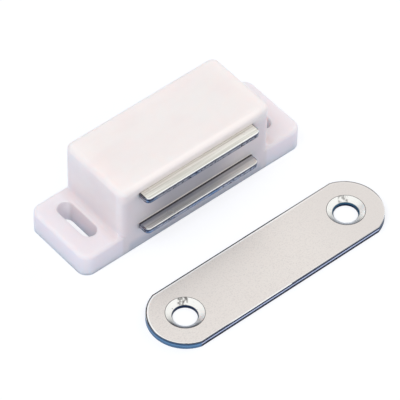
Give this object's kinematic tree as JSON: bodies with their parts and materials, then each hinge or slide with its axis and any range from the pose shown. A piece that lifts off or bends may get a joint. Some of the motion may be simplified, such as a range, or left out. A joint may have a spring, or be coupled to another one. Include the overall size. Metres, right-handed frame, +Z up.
{
  "type": "magnetic catch",
  "caption": "White plastic cabinet catch with slotted ears and steel pole plates over a magnet, and its round-ended countersunk strike plate.",
  "frame": {"origin": "centre of the housing's base, on the surface the catch is screwed to", "axes": "+X along the catch from ear to ear, -Y out of the front where the pole plates face, +Z up off the base"},
  "size_m": [0.0596, 0.046, 0.0184],
  "materials": {
    "white_plastic": "satin white, slightly translucent",
    "pole_steel": "zinc plated, bright",
    "ferrite": "ground dark grey ceramic",
    "strike_steel": "zinc plated, satin"
  },
  "bodies": {
    "catch": {"housing": "white_plastic", "upper_pole_plate": "pole_steel", "lower_pole_plate": "pole_steel", "magnet": "ferrite"},
    "strike": {"strike_plate": "strike_steel"}
  },
  "joints": [
    {"name": "flap_swing", "type": "hinge", "parent": "catch", "child": "strike", "pos_m": [0.0016, -0.01593, -0.00273], "axis": [-1, 0, 0], "range_deg": [0, 90]}
  ]
}
